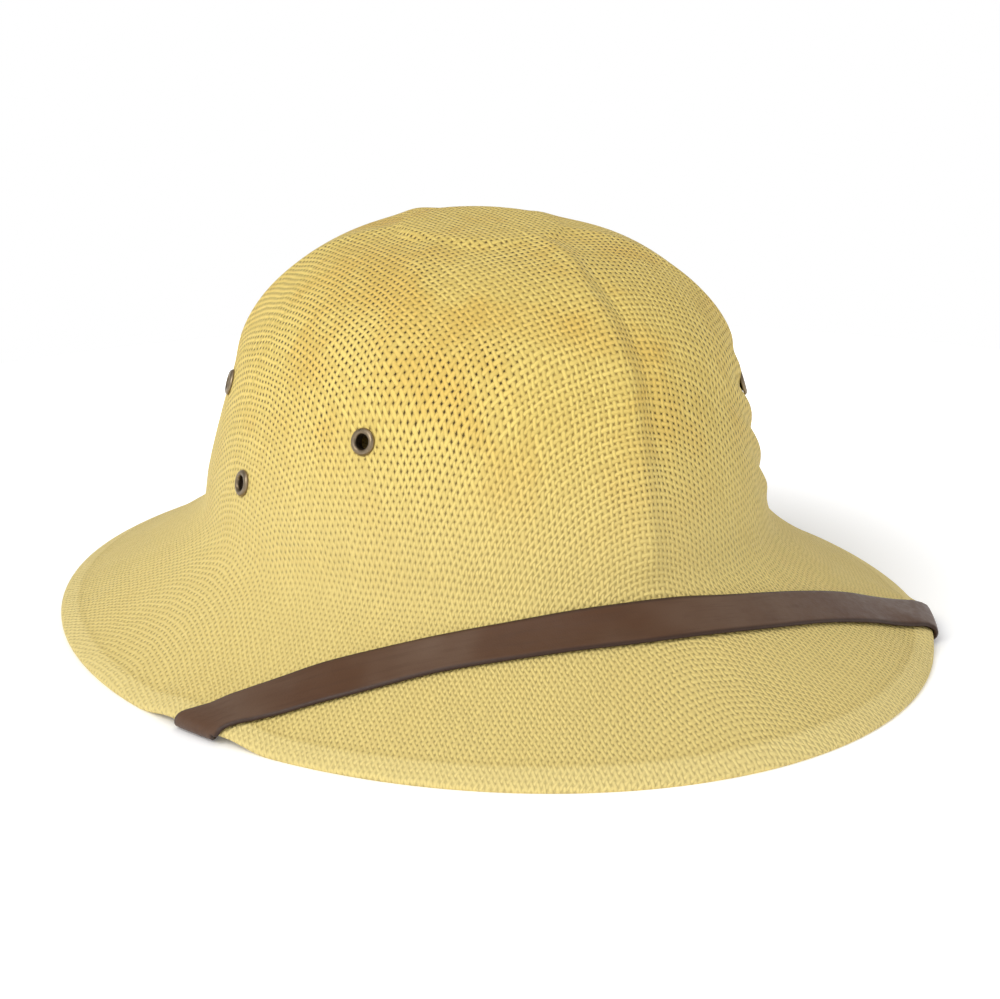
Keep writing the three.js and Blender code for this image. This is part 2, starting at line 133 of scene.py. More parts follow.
# name, face, upper azimuth, upper drop, lower azimuth, lower drop
STRAP_SECTIONS = [
    ("right_end", "inner", -97, -25.5, -89, -32.5),
    ("right_eyelet", "inner", -94.5, -18.5, -86.5, -25.5),
    ("right_inner_foot", "inner", -90.5, 2, -79, 2),
    ("right_under_brim", "inner", -80, 36, -74, 27),
    ("right_under_rim", "inner", -74.5, 55, -68.5, 54),
    ("right_rim", "rim", -73.2, 0, -66.9, 0),
    ("right_brim_edge", "outer", -70.3, 53.2, -66, 60.2),
    ("right_brim_low", "outer", -67.8, 44.6, -63.8, 54),
    ("right_brim_middle", "outer", -63, 33.6, -59.9, 45.5),
    ("right_brim_high", "outer", -55.2, 22.6, -52.7, 35.7),
    ("right_front", "outer", -41.5, 11.1, -39.4, 22.7),
    ("front_right", "outer", -26, 4.1, -24.9, 16.5),
    ("front", "outer", -9.2, 1.2, -9.3, 14.6),
    ("front_left", "outer", 9.8, 3.6, 8.7, 17.2),
    ("left_front", "outer", 31.8, 14.6, 29.2, 26.5),
    ("left_brim_middle", "outer", 46.8, 29.6, 43.2, 40.8),
    ("left_brim_edge", "outer", 57.2, 49.5, 50.3, 55),
    ("left_rim", "rim", 60.5, 0, 52, 0),
    ("left_under_rim", "inner", 63, 54, 54.5, 51),
    ("left_under_brim", "inner", 73, 33, 66, 24),
    ("left_inner_foot", "inner", 89, 2, 78, 2),
    ("left_eyelet", "inner", 94.5, -18.5, 86.5, -25.5),
    ("left_end", "inner", 97, -25.5, 89, -32.5),
]


def smooth(x, low, high):
    """Goes smoothly from 0 at low to 1 at high."""
    t = np.clip((x - low) / (high - low), 0, 1)
    return t * t * (3 - 2 * t)


def table_reader(places, values):
    """Cubic curves through the rows of a table, as the CAD source reads it."""
    places = np.asarray(places, float)
    values = np.asarray(values, float)
    last = len(places) - 1

    def read(at):
        at = np.asarray(at, float)
        b = np.clip(np.searchsorted(places, at, side="right"), 1, last)
        a = b - 1
        first_piece, last_piece = a == 0, b == last
        before = np.where(first_piece, b, a - 1)
        after = np.where(last_piece, a, np.minimum(b + 1, last))
        ta, tb = places[a], places[b]
        half = (tb - ta) / 2
        wp = half / (ta - places[before])
        wn = half / (places[after] - tb)
        p = (at - ta) / (tb - ta)
        weights = (
            (before, -wp * p**3 + 2 * wp * p**2 - wp * p),
            (a, (1 + wp) * p**3 + (-1.5 - 2 * wp) * p**2 + (-0.5 + wp) * p + 1),
            (b, (-1 - wn) * p**3 + (1.5 + wn) * p**2 + 0.5 * p),
            (after, wn * p**3 - wn * p**2),
        )
        return sum(values[row] * weight[..., None] for row, weight in weights)

    return read


_shape = np.array([row[1:] for row in LEVELS], float)
_steps = np.hypot(np.diff(_shape[:, 0]), np.diff(_shape[:, 3]))
LEVEL_DISTANCES = np.concatenate([[0], np.cumsum(_steps)])
FOOT = LEVEL_DISTANCES[[row[0] for row in LEVELS].index("crown_foot")]
RIM = LEVEL_DISTANCES[-1]
read_level = table_reader(LEVEL_DISTANCES, _shape)

STRAP_CROSSINGS = [
    math.radians((row[2] + row[4]) / 2) for row in STRAP_SECTIONS if row[1] == "rim"
]


def turned(azimuth, centre):
    """Signed angle from centre to azimuth."""
    turn = azimuth - centre
    return np.arctan2(np.sin(turn), np.cos(turn))


def rim_pull(azimuth):
    """Share of the rim's full lift, 1 where the strap crosses the rim."""
    pull = np.zeros_like(azimuth)
    for crossing in STRAP_CROSSINGS:
        radius = math.hypot(
            _shape[-1, 0] * math.cos(crossing), _shape[-1, 1] * math.sin(crossing)
        )
        along = np.abs(turned(azimuth, crossing)) * radius
        pull += 1 - smooth(along, RIM_LIFT_HALF_WIDTH, RIM_LIFT_END)
    return np.minimum(1, pull)


def face_point(distance, azimuth):
    """Points of the smooth outer face, without button and ribs."""
    level = read_level(np.clip(distance, 0, RIM))
    half_width, half_length, centre, side, front, back = np.moveaxis(level, -1, 0)
    sine, cosine = np.sin(azimuth), np.cos(azimuth)
    end = np.where(cosine > 0, front, back)
    lift = RIM_LIFT * smooth(distance, RIM - RIM_LIFT_REACH, RIM) * rim_pull(azimuth)
    height = side + (end - side) * cosine**2 + lift
    return np.stack(
        [half_width * sine, centre - half_length * cosine, height], axis=-1
    )


def unit(vectors):
    return vectors / np.linalg.norm(vectors, axis=-1, keepdims=True)


def face_frame(distance, azimuth):
    """Point, outward normal and downhill direction of the smooth outer face."""
    step, turn = 0.5, 0.01
    d = np.clip(distance, 1, RIM)
    downhill = unit(
        face_point(np.minimum(d + step, RIM), azimuth) - face_point(d - step, azimuth)
    )
    across = unit(face_point(d, azimuth + turn) - face_point(d, azimuth - turn))
    return face_point(distance, azimuth), unit(np.cross(downhill, across)), downhill


def ripples(distance, azimuth, side, half_width):
    """The wrinkles, and a little unevenness all over."""
    around = turned(azimuth, math.radians(WRINKLE_AZIMUTH))
    patch = np.exp(-((np.degrees(around) / WRINKLE_SPREAD) ** 2))
    patch = patch * smooth(side, *WRINKLE_FOOT) * (1 - smooth(side, *WRINKLE_HEAD))
    slant = side + WRINKLE_SLANT * around * half_width
    wrinkles = WRINKLE_RISE * patch * np.sin(2 * math.pi * slant / WRINKLE_PITCH)
    x = half_width * np.sin(azimuth)
    y = half_width * np.cos(azimuth)
    uneven = (
        0.22 * np.sin(x / 9.3 + 1.3 * np.sin(y / 17.1)) * np.sin(side / 12.7 + 0.6)
        + 0.18 * np.sin(y / 11.9 + x / 27.0 + 2.1) * np.sin(distance / 10.1)
    )
    calm = 1 - 0.6 * smooth(distance, RIM - 12, RIM - 4)
    return wrinkles + uneven * smooth(distance, 12, 40) * calm


def relief(distance, azimuth):
    """Rise of the button, ribs, crease and ripples above the smooth face."""
    level = read_level(np.clip(distance, 0, RIM))
    half_width, side = level[..., 0], level[..., 3]
    rise = BUTTON_RISE * (1 - smooth(half_width, BUTTON_INNER, BUTTON_OUTER))
    dip = np.exp(-(((half_width - SHOULDER) / SHOULDER_WIDTH) ** 2))
    rise = rise - SHOULDER_DIP * dip
    for _name, degrees, turn, height, right_fall, left_fall, ends in RIBS:
        crest = np.radians(degrees + turn * smooth(side, *RIB_TURN_HEIGHTS))
        across = turned(azimuth, crest) * half_width
        fall = np.where(across < 0, right_fall, left_fall)
        off = np.sqrt(across**2 + RIB_CREST**2) - RIB_CREST
        fade = smooth(side, ends - RIB_FADE, ends + RIB_FADE)
        ridge = np.exp(-((off / fall) ** RIB_SHARPNESS))
        rise = np.maximum(rise, height * fade * ridge)
    front = math.radians(RIBS[0][1])
    beside = turned(azimuth, front) * half_width - CREASE_OFF
    fade = smooth(side, *CREASE_FOOT) * (1 - smooth(side, *CREASE_HEAD))
    rise = rise - CREASE_DEPTH * fade * np.exp(-((beside / CREASE_WIDTH) ** 2))
    return rise + ripples(distance, azimuth, side, half_width)


def thickness(distance):
    """The wall, thicker at the hem."""
    hem = smooth(distance, RIM - HEM_WIDTH - 2, RIM - HEM_WIDTH + 1)
    return WALL + (RIM_THICKNESS - WALL) * hem


def hem_rise(distance):
    """How far the hem stands proud, down to none at the rim's edge."""
    return HEM_STEP * (
        smooth(distance, RIM - HEM_WIDTH - 0.6, RIM - HEM_WIDTH + 0.6)
        - smooth(distance, RIM - 1.6, RIM)
    )


def skin(way, azimuth, clearance):
    """Points at a clearance off the shell's skin, as in the CAD source."""
    way, azimuth, clearance = np.broadcast_arrays(
        np.asarray(way, float), azimuth, clearance
    )
    on_outer = way <= RIM
    on_cap = (way > RIM) & (way < RIM + RIM_CAP)
    distance = np.where(
        on_outer, way, np.where(on_cap, RIM, np.maximum(0, 2 * RIM + RIM_CAP - way))
    )
    point, normal, downhill = face_frame(distance, azimuth)
    rise = relief(distance, azimuth)
    edge = relief(np.full_like(distance, RIM), azimuth)
    radius = RIM_THICKNESS / 2
    turn = math.pi * np.clip((way - RIM) / RIM_CAP, 0, 1)
    outer = rise + hem_rise(distance) + clearance
    cap = edge - radius + np.cos(turn) * (radius + clearance)
    inner = rise - thickness(distance) - clearance
    off = np.where(on_outer, outer, np.where(on_cap, cap, inner))
    out = np.where(on_cap, np.sin(turn) * (radius + clearance), 0)
    return point + normal * off[..., None] + downhill * out[..., None]


def way_of(face, drop):
    """Way over the skin, from the top's outside round the rim to its inside."""
    if face == "rim":
        return RIM + RIM_CAP / 2
    return FOOT + drop if face == "outer" else 2 * RIM + RIM_CAP - (FOOT + drop)


# ------------------------------------------------------------ mesh helpers
def grid_faces(rows, columns, closed_rows=False, closed_columns=False):
    """Quads of a grid of rows x columns points, numbered row by row."""
    i = np.arange(rows if closed_rows else rows - 1)
    j = np.arange(columns if closed_columns else columns - 1)
    a, b = np.meshgrid(i, j, indexing="ij")
    down, on = (a + 1) % rows, (b + 1) % columns
    quads = np.stack(
        [a * columns + b, down * columns + b, down * columns + on, a * columns + on],
        axis=-1,
    )
    return quads.reshape(-1, 4)


def make_object(name, points_mm, faces, attributes=None, smooth_shade=True):
    """An object of points in mm, with vectors for the materials at its points."""
    mesh = bpy.data.meshes.new(name)
    mesh.from_pydata((np.asarray(points_mm) * MM).tolist(), [], [list(f) for f in faces])
    for key, values in (attributes or {}).items():
        layer = mesh.attributes.new(key, "FLOAT_VECTOR", "POINT")
        layer.data.foreach_set("vector", np.asarray(values, np.float32).ravel())
    mesh.validate()
    mesh.update()
    if smooth_shade:
        mesh.polygons.foreach_set("use_smooth", [True] * len(mesh.polygons))
    made = bpy.data.objects.new(name, mesh)
    bpy.context.scene.collection.objects.link(made)
    return made


# ---------------------------------------------------------------- materials
class Shader:
    """A Principled material and short ways to add nodes to it."""

    def __init__(self, name):
        self.material = bpy.data.materials.new(name)
        self.material.use_nodes = True
        self.tree = self.material.node_tree
        self.surface = self.tree.nodes["Principled BSDF"]

    def link(self, value, socket):
        if isinstance(value, bpy.types.NodeSocket):
            self.tree.links.new(value, socket)
        else:
            socket.default_value = value

    def node(self, kind, inputs=None, output=0, **settings):
        made = self.tree.nodes.new(kind)
        for key, value in settings.items():
            setattr(made, key, value)
        for key, value in (inputs or {}).items():
            self.link(value, made.inputs[key])
        return made.outputs[output]

    def math(self, operation, *values):
        inputs = dict(enumerate(values))
        return self.node("ShaderNodeMath", inputs, operation=operation)

    def vector_math(self, operation, *values, output=0):
        inputs = dict(enumerate(values))
        return self.node("ShaderNodeVectorMath", inputs, output, operation=operation)

    def without(self, value, share):
        """1 less a share of the value."""
        return self.math("SUBTRACT", 1.0, self.math("MULTIPLY", value, share))

    def remap(self, value, low, high, to_low=0.0, to_high=1.0):
        inputs = {0: value, 1: low, 2: high, 3: to_low, 4: to_high}
        return self.node("ShaderNodeMapRange", inputs, interpolation_type="SMOOTHSTEP")

    def noise(self, vector, scale, detail=2.0, roughness=0.5, output=0):
        inputs = {"Vector": vector, "Scale": scale, "Detail": detail, "Roughness": roughness}
        return self.node("ShaderNodeTexNoise", inputs, output=output)

    def mix(self, factor, a, b, blend="MIX"):
        made = self.tree.nodes.new("ShaderNodeMix")
        made.data_type = "RGBA"
        made.blend_type = blend
        self.link(factor, made.inputs[0])
        self.link(a, made.inputs[6])
        self.link(b, made.inputs[7])
        return made.outputs[2]

    def combine(self, x, y, z):
        return self.node("ShaderNodeCombineXYZ", {0: x, 1: y, 2: z})

    def separate(self, vector):
        made = self.tree.nodes.new("ShaderNodeSeparateXYZ")
        self.link(vector, made.inputs[0])
        return made.outputs

    def bump(self, height, distance, strength):
        inputs = {"Strength": strength, "Distance": distance, "Height": height}
        return self.node("ShaderNodeBump", inputs)

    def finish(self, color, roughness, normal, **uniform):
        self.link(color, self.surface.inputs["Base Color"])
        self.link(roughness, self.surface.inputs["Roughness"])
        self.link(normal, self.surface.inputs["Normal"])
        for key, value in uniform.items():
            self.surface.inputs[key.replace("_", " ")].default_value = value
        return self.material


THREAD_WIDTH = 0.53  # of the pitch, before the random part
STRAW_PALE_BELOW = (0.098, 0.040)  # heights in metres where the pale straw comes in

STRAW_LIGHT = (0.81, 0.62, 0.175, 1)
STRAW_PALE = (0.70, 0.57, 0.235, 1)  # low on the crown and on the brim
STRAW_WARM = (0.76, 0.51, 0.115, 1)  # orange patches
STRAW_DARK = (0.48, 0.34, 0.085, 1)  # darker threads
STRAW_HEM = (0.90, 0.77, 0.37, 1)
STRAW_SEAT_SHADE = (0.31, 0.21, 0.050, 1)  # painted shade between threads, also used in the hem's groove and in open weave
STRAW_HOLE_SHADE = (0.060, 0.038, 0.010, 1)  # painted shade of the dark inside, where the weave is open


def straw_material():
    s = Shader("woven_straw")
    place = s.node("ShaderNodeTexCoord", output=3)
    cells = s.node("ShaderNodeAttribute", output=1, attribute_name="thread")
    zones = s.node("ShaderNodeAttribute", output=1, attribute_name="zone")
    hem, groove_shade = s.separate(zones)[:2]

    # Low down the straw is woven closer and is paler.
    low = s.remap(s.separate(place)[2], *STRAW_PALE_BELOW)
    open_weave = s.without(low, 0.6)

    # Threads wander a little and vary in width.
    wander = s.noise(cells, 0.16, 2.0, 0.55, output=1)
    wander = s.vector_math("SUBTRACT", wander, (0.5, 0.5, 0.5))
    wander = s.vector_math("MULTIPLY", wander, (1.2, 1.2, 0.0))
    u, v = s.separate(s.vector_math("ADD", cells, wander))[:2]

    def thread(across, along, turn):
        """Height and random tone of the threads that run along one way."""
        number = s.math("FLOOR", across)
        tone = s.node(
            "ShaderNodeTexWhiteNoise", {"W": s.math("ADD", number, turn)},
            noise_dimensions="1D",
        )
        off = s.math("SUBTRACT", s.math("FRACT", across), 0.5)
        off = s.math("MULTIPLY", s.math("ABSOLUTE", off), 2.0)
        streaks = s.combine(
            s.math("MULTIPLY", across, 3.2), s.math("MULTIPLY", along, 0.55), turn
        )
        fibre = s.noise(streaks, 1.0, 2.0, 0.6)
        width = s.math("MULTIPLY_ADD", tone, 0.14, THREAD_WIDTH)
        width = s.math("MULTIPLY_ADD", fibre, 0.16, width)
        ratio = s.math("DIVIDE", off, width)
        round_top = s.math("SUBTRACT", 1.0, s.math("MULTIPLY", ratio, ratio))
        tone = s.math("MULTIPLY_ADD", fibre, 0.6, s.math("MULTIPLY", tone, 0.4))
        return round_top, tone

    warp, warp_tone = thread(u, v, 3.7)
    weft, weft_tone = thread(v, u, 11.3)
    over = s.math(
        "MULTIPLY",
        s.math("SINE", s.math("MULTIPLY", u, math.pi)),
        s.math("SINE", s.math("MULTIPLY", v, math.pi)),
    )
    warp_height = s.math("MULTIPLY_ADD", over, 0.55, warp)
    weft_height = s.math("MULTIPLY_ADD", over, -0.55, weft)
    warp_shown = s.math("GREATER_THAN", warp_height, weft_height)
    height = s.math("MAXIMUM", warp_height, weft_height)
    cover = s.math("MAXIMUM", warp, weft)
    tone = s.node(
        "ShaderNodeMix", {0: warp_shown, 2: weft_tone, 3: warp_tone}, data_type="FLOAT"
    )

    # The straw's own colour, with orange patches and darker threads, then painted shade
    # between the threads.
    patches = s.noise(place, 31.0, 3.0, 0.6)
    warm = s.remap(patches, 0.44, 0.66, 0.0, 0.85)
    warm = s.math("MULTIPLY", warm, s.without(low, 0.8))
    straw = s.mix(warm, STRAW_LIGHT, STRAW_WARM)
    straw = s.mix(s.remap(tone, 0.30, 0.78, 0.0, 0.42), straw, STRAW_DARK)
    straw = s.mix(s.math("MULTIPLY", low, 0.55), straw, STRAW_PALE)
    # Painted shade: the low sides of the threads and the seats between them are darkened.
    side = s.remap(height, 0.15, 0.85, 0.55, 0.0)
    straw = s.mix(s.math("MULTIPLY", side, open_weave), straw, STRAW_SEAT_SHADE)

    # Where the weave is open, the shaded inside is painted in dark: painted shade.
    openness = s.remap(s.noise(place, 24.0, 2.0, 0.5), 0.36, 0.62)
    gap_shade = s.remap(cover, 0.10, -0.28)
    gap_shade = s.math("MULTIPLY", gap_shade, s.without(hem, 0.45))
    gap_shade = s.math("MULTIPLY", gap_shade, open_weave)
    hole_shade = s.mix(openness, STRAW_SEAT_SHADE, STRAW_HOLE_SHADE)
    color = s.mix(gap_shade, straw, hole_shade)
    color = s.mix(s.math("MULTIPLY", hem, 0.22), color, STRAW_HEM)
    # Painted shade in the hem's groove.
    color = s.mix(s.math("MULTIPLY", groove_shade, 0.12), color, STRAW_SEAT_SHADE)

    grain = s.noise(place, 1700.0, 2.0, 0.6)
    lift = s.math("MULTIPLY_ADD", grain, 0.12, s.math("MAXIMUM", height, -0.35))
    normal = s.bump(lift, 0.00034, 0.85)
    roughness = s.remap(tone, 0.2, 0.8, 0.60, 0.78)
    return s.finish(
        color, roughness, normal,
        Sheen_Weight=0.03, Sheen_Roughness=0.45, Specular_IOR_Level=0.22,
    )


LEATHER_BROWN = (0.080, 0.034, 0.014, 1)
# painted sheen: the strap's greyer patches
LEATHER_SHEEN_GREY = (0.124, 0.074, 0.047, 1)
LEATHER_STREAK = (0.060, 0.028, 0.014, 1)
LEATHER_EDGE = (0.040, 0.020, 0.013, 1)


def leather_material():
    s = Shader("strap_leather")
    place = s.node("ShaderNodeTexCoord", output=3)
    band = s.node("ShaderNodeAttribute", output=1, attribute_name="strap")
    edge, along = s.separate(band)[:2]
    sheen_cloud = s.noise(place, 17.0, 3.0, 0.55)
    lengthwise = s.combine(
        s.math("MULTIPLY", along, 0.02), s.math("MULTIPLY", edge, 1.6), 0.0
    )
    streak = s.noise(lengthwise, 3.0, 3.0, 0.6)
    # Greyer patches of painted sheen.
    color = s.mix(s.remap(sheen_cloud, 0.38, 0.66), LEATHER_BROWN, LEATHER_SHEEN_GREY)
    color = s.mix(s.remap(streak, 0.45, 0.75, 0.0, 0.35), color, LEATHER_STREAK)
    color = s.mix(s.remap(edge, 0.80, 0.98), color, LEATHER_EDGE)
    pores = s.node("ShaderNodeTexVoronoi", {"Vector": place, "Scale": 1500.0}, feature="F1")
    wrinkle = s.noise(place, 420.0, 3.0, 0.6)
    height = s.math("MULTIPLY_ADD", pores, 0.5, wrinkle)
    normal = s.bump(height, 0.00012, 0.5)
    gloss = s.remap(wrinkle, 0.3, 0.7, 0.30, 0.40)
    roughness = s.math("MULTIPLY_ADD", sheen_cloud, 0.22, gloss)
    return s.finish(
        color, roughness, normal,
        Specular_IOR_Level=0.26, Coat_Weight=0.04, Coat_Roughness=0.38,
    )


METAL_LIGHT = (0.15, 0.11, 0.065, 1)
METAL_DARK = (0.050, 0.038, 0.028, 1)
METAL_WORN = (0.27, 0.21, 0.135, 1)


def metal_material():
    s = Shader("aged_brass")
    place = s.node("ShaderNodeTexCoord", output=3)
    tarnish = s.noise(place, 420.0, 4.0, 0.65)
    pointiness = s.node("ShaderNodeNewGeometry", output=7)
    color = s.mix(s.remap(tarnish, 0.38, 0.66), METAL_LIGHT, METAL_DARK)
    color = s.mix(s.remap(pointiness, 0.50, 0.56), color, METAL_WORN)
    roughness = s.remap(tarnish, 0.3, 0.7, 0.26, 0.50)
    normal = s.bump(tarnish, 0.00006, 0.4)
    return s.finish(color, roughness, normal, Metallic=0.92)


# -------------------------------------------------------------------- shell
PITCH = 2.02  # from thread to thread
OUTER_ROWS = 128
INNER_ROWS = 66
CAP_ROWS = 9  # round the rim
COLUMNS = 396
RIB_CROWDING = 0.5  # mesh columns stand closer together at the ribs


def woven_cells(distance, azimuth):
    """Where each thread lies: the straw cloth is square at the front, back and
    sides, and sheared into diamonds between them, as cloth over a dome is."""
    level = read_level(np.clip(distance, 0, RIM))
    radius = (level[..., 0] + level[..., 1]) / 2
    share = np.clip(radius / np.maximum(distance, 1e-6), 0.3, 1.0)
    turn = azimuth - (1 - share) * np.sin(4 * azimuth) / 4
    stretch = 1 + (np.sqrt(2 - share**2) - 1) * np.sin(2 * azimuth) ** 2
    reach = distance / stretch / PITCH
    return np.stack(
        [reach * np.sin(turn), -reach * np.cos(turn), np.zeros_like(reach)], axis=-1
    )


def build_shell(material):
    """The shell's closed skin: outer face, rim and inner face."""
    outer = RIM * np.linspace(0, 1, OUTER_ROWS + 1)[1:]
    cap = RIM + RIM_CAP * np.linspace(0, 1, CAP_ROWS + 1)[1:-1]
    inner = 2 * RIM + RIM_CAP - RIM * np.linspace(0, 1, INNER_ROWS + 1)[1:][::-1]
    ways = np.concatenate([outer, cap, inner])
    steps = np.arange(COLUMNS) * 2 * math.pi / COLUMNS
    azimuths = steps - RIB_CROWDING * np.sin(6 * steps) / 6
    way, azimuth = np.meshgrid(ways, azimuths, indexing="ij")
    points = skin(way, azimuth, 0.0)
    points[..., 2] = np.maximum(points[..., 2], 0)

    distance = np.where(way <= RIM + RIM_CAP / 2, way, 2 * RIM + RIM_CAP - way)
    threads = woven_cells(distance, azimuth)
    hem = smooth(distance, RIM - HEM_WIDTH - 0.5, RIM - HEM_WIDTH + 0.5)
    # Painted shade along the groove above the hem.
    groove_shade = np.exp(-(((distance - RIM + HEM_WIDTH + 1.0) / 0.9) ** 2))
    zone = np.stack([hem, groove_shade, np.zeros_like(hem)], axis=-1)

    rows = len(ways)
    top = skin(0.0, 0.0, 0.0)
    under_top = skin(2 * RIM + RIM_CAP, 0.0, 0.0)
    all_points = np.concatenate([points.reshape(-1, 3), [top], [under_top]])
    all_threads = np.concatenate([threads.reshape(-1, 3), np.zeros((2, 3))])
    all_zones = np.concatenate([zone.reshape(-1, 3), np.zeros((2, 3))])
    faces = grid_faces(rows, COLUMNS, closed_columns=True).tolist()
    count = rows * COLUMNS
    last = (rows - 1) * COLUMNS
    for j in range(COLUMNS):
        on = (j + 1) % COLUMNS
        faces.append([count, j, on])
        faces.append([last + j, count + 1, last + on])
    shell = make_object(
        "straw_shell", all_points, faces, {"thread": all_threads, "zone": all_zones}
    )
    shell.data.materials.append(material)
    return shell


def eyelet_frame(row):
    """Place of an eyelet on the outer face and the three axes it is built on."""
    distance = FOOT + row[2]
    azimuth = math.radians(row[1])
    point, normal, downhill = face_frame(distance, azimuth)
    point = point + normal * relief(distance, azimuth)
    return point, normal, downhill, np.cross(normal, downhill)


PUNCH_RADIUS = 3.0
PUNCH_SIDES = 32
PUNCH_ENDS = (-8.0, 6.0)  # heights off the outer face


def circle_points(row, radius, height, sides):
    """Points round an eyelet's axis, at a height off the outer face."""
    point, normal, downhill, across = eyelet_frame(row)
    centre = point + normal * height
    return [
        centre + radius * (math.cos(turn) * downhill + math.sin(turn) * across)
        for turn in np.linspace(0, 2 * math.pi, sides + 1)[:-1]
    ]


def punch_holes(shell):
    """Cuts the eyelets' holes through the wall."""
    points, faces = [], []
    n = PUNCH_SIDES
    for row in EYELETS:
        first = len(points)
        for height in PUNCH_ENDS:
            points += circle_points(row, PUNCH_RADIUS, height, n)
        for k in range(n):
            on = (k + 1) % n
            faces.append([first + k, first + on, first + n + on, first + n + k])
        faces.append([first + k for k in reversed(range(n))])
        faces.append([first + n + k for k in range(n)])
    cutter = make_object("cutter", points, faces, smooth_shade=False)
    cut = shell.modifiers.new("punch", "BOOLEAN")
    cut.operation = "DIFFERENCE"
    cut.solver = "MANIFOLD"
    cut.object = cutter
    bpy.context.view_layer.update()
    graph = bpy.context.evaluated_depsgraph_get()
    result = bpy.data.meshes.new_from_object(
        shell.evaluated_get(graph), preserve_all_data_layers=True, depsgraph=graph
    )
    shell.modifiers.clear()
    shell.data = result
    bpy.data.objects.remove(cutter)


# -------------------------------------------------------------------- strap
STRAP_THICKNESS = 1.4
STRAP_GAP = 0.45  # between the strap and the shell it lies on
STRAP_STEPS = 16  # sections between two rows of the table
STRAP_ACROSS = 14  # points across each face
STRAP_ROUND = 0.5  # bevel of the strap's long edges
STRAP_BEVEL_SHARE = STRAP_ROUND / 13.0  # of the strap's least width


def build_strap(material):
    """The whole strap, swept through the sections of its table."""
    rows = []
    for _name, face, upper_azimuth, upper_drop, lower_azimuth, lower_drop in STRAP_SECTIONS:
        upper = (way_of(face, upper_drop), math.radians(upper_azimuth))
        lower = (way_of(face, lower_drop), math.radians(lower_azimuth))
        rows.append(upper + lower)
    read = table_reader(np.arange(len(rows)), rows)
    places = np.linspace(0, len(rows) - 1, (len(rows) - 1) * STRAP_STEPS + 1)
    section = read(places)

    # A cross-section: share across the width, height off the shell, and how
    # near the edge, from 0 in the middle to 1.
    shares = np.linspace(STRAP_BEVEL_SHARE, 1 - STRAP_BEVEL_SHARE, STRAP_ACROSS)
    low, high = STRAP_GAP, STRAP_GAP + STRAP_THICKNESS
    outline = [(share, low, 2 * abs(share - 0.5)) for share in shares]
    outline += [(1.0, low + STRAP_ROUND, 1.0), (1.0, high - STRAP_ROUND, 1.0)]
    outline += [(share, high, 2 * abs(share - 0.5)) for share in shares[::-1]]
    outline += [(0.0, high - STRAP_ROUND, 1.0), (0.0, low + STRAP_ROUND, 1.0)]
    outline = np.array(outline)

    share = outline[None, :, 0]
    way = section[:, 0, None] * (1 - share) + section[:, 2, None] * share
    azimuth = section[:, 1, None] * (1 - share) + section[:, 3, None] * share
    points = skin(way, azimuth, np.broadcast_to(outline[None, :, 1], way.shape))
    middle = points[:, :STRAP_ACROSS].mean(axis=1)
    steps = np.linalg.norm(np.diff(middle, axis=0), axis=1)
    along = np.concatenate([[0], np.cumsum(steps)])
    edges = np.broadcast_to(outline[None, :, 2], way.shape)
    lengths = np.broadcast_to(along[:, None], way.shape)
    band = np.stack([edges, lengths, np.zeros_like(way)], axis=-1).reshape(-1, 3)
    n_rows, n_round = way.shape
    faces = grid_faces(n_rows, n_round, closed_columns=True)[:, ::-1].tolist()
    faces.append(list(range(n_round)))
    faces.append([(n_rows - 1) * n_round + k for k in reversed(range(n_round))])
    made = make_object("leather_strap", points.reshape(-1, 3), faces, {"strap": band})
    made.data.materials.append(material)
    return made


# ------------------------------------------------------------------ eyelets
HOLE_RADIUS = 2.3
BARREL_RADIUS = 2.75
FLANGE_RADIUS = 4.4
FLANGE_RISE = 1.2
ROLL_RADIUS = 3.9
ROLL_HEIGHT = 0.8
EYELET_SEGMENTS = 48
GAP = 0.1  # between an eyelet and what it holds


def build_eyelet(row, material):
    """A flanged tube with its inner end rolled back, named after its node."""
    held = WALL + (STRAP_GAP + STRAP_THICKNESS if row[3] else 0)
    inside = -held - GAP
    # radius and height of the turned outline, from the inner end to the flange
    outline = [
        (HOLE_RADIUS, inside - ROLL_HEIGHT * 0.6),
        (HOLE_RADIUS + 0.25, inside - ROLL_HEIGHT * 0.95),
        (HOLE_RADIUS + 0.75, inside - ROLL_HEIGHT),
        (ROLL_RADIUS - 0.35, inside - ROLL_HEIGHT * 0.7),
        (ROLL_RADIUS, inside - ROLL_HEIGHT * 0.2),
        (ROLL_RADIUS - 0.15, inside),
        (BARREL_RADIUS, inside),
        (BARREL_RADIUS, GAP),
        (FLANGE_RADIUS - 0.1, GAP),
        (FLANGE_RADIUS, GAP + 0.2),
        (FLANGE_RADIUS - 0.15, FLANGE_RISE * 0.62),
        (FLANGE_RADIUS - 0.5, FLANGE_RISE * 0.94),
        (FLANGE_RADIUS - 0.95, FLANGE_RISE * 1.12),
        (FLANGE_RADIUS - 1.4, FLANGE_RISE * 1.10),
        (FLANGE_RADIUS - 1.8, FLANGE_RISE * 0.88),
        (HOLE_RADIUS + 0.05, FLANGE_RISE * 0.5),
        (HOLE_RADIUS, FLANGE_RISE * 0.1),
    ]
    points = []
    for radius, height in outline:
        points += circle_points(row, radius, height, EYELET_SEGMENTS)
    faces = grid_faces(len(outline), EYELET_SEGMENTS, True, True)[:, ::-1].tolist()
    name = row[0].replace("eyelet", "vent")
    made = make_object(name, points, faces)
    made.data.materials.append(material)
    return made


# ----------------------------------------------------------------- assembly
straw = straw_material()
leather = leather_material()
metal = metal_material()

shell = build_shell(straw)
punch_holes(shell)
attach(shell, "root")
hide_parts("shell")

strap = build_strap(leather)
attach(strap, "root")
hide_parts("chin_strap")

